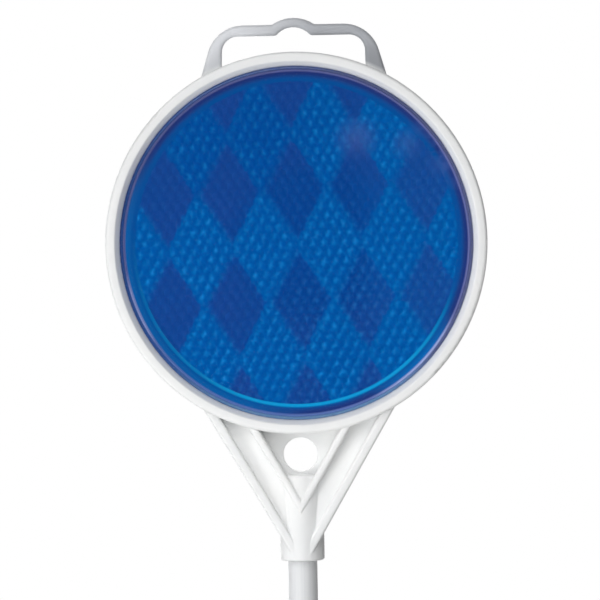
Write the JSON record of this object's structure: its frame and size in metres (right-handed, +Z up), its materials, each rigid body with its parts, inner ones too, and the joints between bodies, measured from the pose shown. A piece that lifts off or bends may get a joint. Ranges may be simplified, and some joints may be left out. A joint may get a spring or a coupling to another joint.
{
  "type": "driveway marker",
  "caption": "Round reflector head with a hang loop and a V-shaped bracket, swivelling on a slim pole that is pushed into the ground to mark the edge of a drive.",
  "frame": {"origin": "on the pole's axis at the ground line, 203.2 mm above the point", "axes": "+Z up the pole to the hang loop, -Y out of the front reflector, +X to the right as the front reflector is seen"},
  "size_m": [0.0826, 0.0126, 0.9144],
  "materials": {
    "white_moulding": "satin white injection moulding",
    "blue_lens": "clear blue acrylic with prisms behind its face",
    "plate_grey": "light grey moulding",
    "foam_tape": "closed-cell adhesive foam",
    "pole_white": "satin white fibreglass rod"
  },
  "bodies": {
    "pole": {"pole": "pole_white"},
    "head": {"housing": "white_moulding", "front_lens": "blue_lens", "front_back_plate": "plate_grey", "front_foam_pad": "foam_tape", "rear_lens": "blue_lens", "rear_back_plate": "plate_grey", "rear_foam_pad": "foam_tape"}
  },
  "joints": [
    {"name": "head_swivel", "type": "hinge", "parent": "pole", "child": "head", "pos_m": [0, 0, 0.6], "axis": [0, 0, 1], "continuous": true}
  ]
}
